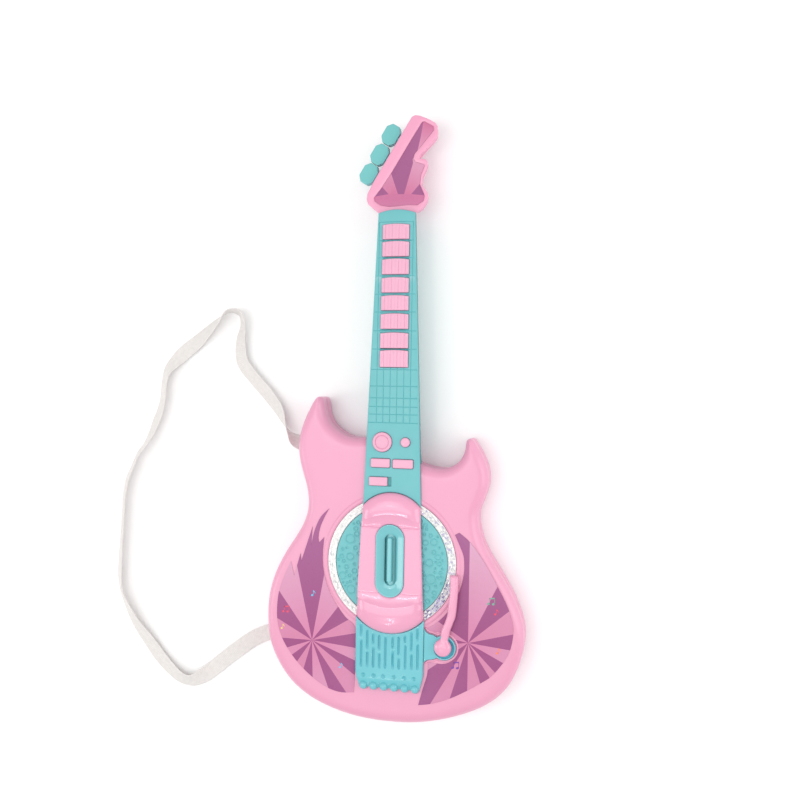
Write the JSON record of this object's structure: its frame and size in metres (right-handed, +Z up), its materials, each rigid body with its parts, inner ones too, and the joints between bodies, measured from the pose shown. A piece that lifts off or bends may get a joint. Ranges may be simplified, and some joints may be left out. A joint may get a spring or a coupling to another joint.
{
  "type": "toy electric guitar",
  "caption": "Toy electric guitar for a child: two-horned pink body, turquoise neck with press keys, strum lever in an oval dish, light ring, whammy bar, tuning pegs and a webbing strap.",
  "frame": {"origin": "centre of the guitar's box at its lowest face, where it lies on its back, the strap not counted", "axes": "+Z up out of the front face, +Y along the neck towards the headstock, +X towards the whammy bar's side"},
  "size_m": [0.4125, 0.5564, 0.0446],
  "materials": {
    "case_pink": "semi-gloss moulded pink",
    "key_pink": "satin moulded pink",
    "gloss_pink": "polished pink",
    "neck_teal": "satin moulded turquoise",
    "trim_teal": "semi-gloss moulded turquoise",
    "disc_teal": "satin with raised rings",
    "printed_label": "printed film in three pinks and purples",
    "clear_ring": "clear faceted plastic",
    "membrane_rubber": "moulded silicone",
    "circuit_board": "solder mask",
    "black_plastic": "moulded black",
    "speaker_metal": "dark plated steel",
    "speaker_paper": "pressed paper",
    "steel": "zinc plated",
    "spring_steel": "nickel plated",
    "battery_jacket": "plain printed sleeve",
    "strap_webbing": "woven tape"
  },
  "bodies": {
    "case": {"battery_1": "battery_jacket", "battery_2": "battery_jacket", "battery_3": "battery_jacket", "battery_contact_negative": "spring_steel", "battery_contact_positive": "spring_steel", "battery_door": "case_pink", "battery_door_screw": "steel", "body_front_shell": "case_pink", "body_label_left": "printed_label", "body_label_right": "printed_label", "body_rear_shell": "case_pink", "case_screw_1": "steel", "case_screw_2": "steel", "case_screw_3": "steel", "case_screw_4": "steel", "case_screw_5": "steel", "control_membrane": "membrane_rubber", "fret_key_board": "circuit_board", "fret_key_membrane": "membrane_rubber", "head_front_shell": "case_pink", "head_label": "printed_label", "head_rear_shell": "case_pink", "led_board": "circuit_board", "light_ring": "clear_ring", "main_board": "circuit_board", "microphone_socket": "black_plastic", "neck_fretboard": "neck_teal", "neck_rear": "neck_teal", "pickup_cover": "gloss_pink", "slide_switch_body": "black_plastic", "sound_disc": "disc_teal", "speaker_cone": "speaker_paper", "speaker_frame": "speaker_metal", "speaker_magnet": "speaker_metal", "strap": "strap_webbing", "strap_anchor_lower": "steel", "strap_anchor_upper": "steel", "strum_dish": "trim_teal", "tailpiece": "trim_teal", "tremolo_plate": "trim_teal", "whammy_pivot_pin": "steel"},
    "fret_key_1": {"fret_key_1": "key_pink"},
    "fret_key_2": {"fret_key_2": "key_pink"},
    "fret_key_3": {"fret_key_3": "key_pink"},
    "fret_key_4": {"fret_key_4": "key_pink"},
    "fret_key_5": {"fret_key_5": "key_pink"},
    "fret_key_6": {"fret_key_6": "key_pink"},
    "fret_key_7": {"fret_key_7": "key_pink"},
    "fret_key_8": {"fret_key_8": "key_pink"},
    "button_round_large": {"button_round_large": "key_pink"},
    "button_round_small": {"button_round_small": "key_pink"},
    "button_rect_left": {"button_rect_left": "key_pink"},
    "button_rect_right": {"button_rect_right": "key_pink"},
    "slide_switch_knob": {"slide_switch_knob": "key_pink"},
    "strum_lever": {"strum_lever": "trim_teal", "strum_axle": "steel"},
    "whammy_bar": {"whammy_bar": "gloss_pink"},
    "tuning_peg_1": {"tuning_peg_1": "trim_teal"},
    "tuning_peg_2": {"tuning_peg_2": "trim_teal"},
    "tuning_peg_3": {"tuning_peg_3": "trim_teal"}
  },
  "joints": [
    {"name": "fret_key_1_press", "type": "slide", "parent": "case", "child": "fret_key_1", "axis": [0, 0, -1], "range_m": [0, 0.0015], "stiffness_N_per_m": 400},
    {"name": "fret_key_2_press", "type": "slide", "parent": "case", "child": "fret_key_2", "axis": [0, 0, -1], "range_m": [0, 0.0015], "stiffness_N_per_m": 400},
    {"name": "fret_key_3_press", "type": "slide", "parent": "case", "child": "fret_key_3", "axis": [0, 0, -1], "range_m": [0, 0.0015], "stiffness_N_per_m": 400},
    {"name": "fret_key_4_press", "type": "slide", "parent": "case", "child": "fret_key_4", "axis": [0, 0, -1], "range_m": [0, 0.0015], "stiffness_N_per_m": 400},
    {"name": "fret_key_5_press", "type": "slide", "parent": "case", "child": "fret_key_5", "axis": [0, 0, -1], "range_m": [0, 0.0015], "stiffness_N_per_m": 400},
    {"name": "fret_key_6_press", "type": "slide", "parent": "case", "child": "fret_key_6", "axis": [0, 0, -1], "range_m": [0, 0.0015], "stiffness_N_per_m": 400},
    {"name": "fret_key_7_press", "type": "slide", "parent": "case", "child": "fret_key_7", "axis": [0, 0, -1], "range_m": [0, 0.0015], "stiffness_N_per_m": 400},
    {"name": "fret_key_8_press", "type": "slide", "parent": "case", "child": "fret_key_8", "axis": [0, 0, -1], "range_m": [0, 0.0015], "stiffness_N_per_m": 400},
    {"name": "button_round_large_press", "type": "slide", "parent": "case", "child": "button_round_large", "axis": [0, 0, -1], "range_m": [0, 0.0015], "stiffness_N_per_m": 400},
    {"name": "button_round_small_press", "type": "slide", "parent": "case", "child": "button_round_small", "axis": [0, 0, -1], "range_m": [0, 0.0015], "stiffness_N_per_m": 400},
    {"name": "button_rect_left_press", "type": "slide", "parent": "case", "child": "button_rect_left", "axis": [0, 0, -1], "range_m": [0, 0.0015], "stiffness_N_per_m": 400},
    {"name": "button_rect_right_press", "type": "slide", "parent": "case", "child": "button_rect_right", "axis": [0, 0, -1], "range_m": [0, 0.0015], "stiffness_N_per_m": 400},
    {"name": "slide_switch", "type": "slide", "parent": "case", "child": "slide_switch_knob", "axis": [1, 0, 0], "range_m": [0, 0.0035]},
    {"name": "strum_rock", "type": "hinge", "parent": "case", "child": "strum_lever", "pos_m": [0, -0.1266, 0.0285], "axis": [0, 1, 0], "range_deg": [-9, 9], "stiffness_Nm_per_rad": 0.06},
    {"name": "whammy_swing", "type": "hinge", "parent": "case", "child": "whammy_bar", "pos_m": [0.0498, -0.2032, 0.0376], "axis": [0, 0, 1], "range_deg": [-8, 8], "stiffness_Nm_per_rad": 0.05},
    {"name": "tuning_peg_1_turn", "type": "hinge", "parent": "case", "child": "tuning_peg_1", "pos_m": [-0.009, 0.2626, 0.0234], "axis": [-0.856, 0.517, 0], "continuous": true},
    {"name": "tuning_peg_2_turn", "type": "hinge", "parent": "case", "child": "tuning_peg_2", "pos_m": [-0.0194, 0.2449, 0.0234], "axis": [-0.856, 0.517, 0], "continuous": true},
    {"name": "tuning_peg_3_turn", "type": "hinge", "parent": "case", "child": "tuning_peg_3", "pos_m": [-0.0294, 0.2274, 0.0234], "axis": [-0.856, 0.517, 0], "continuous": true}
  ]
}
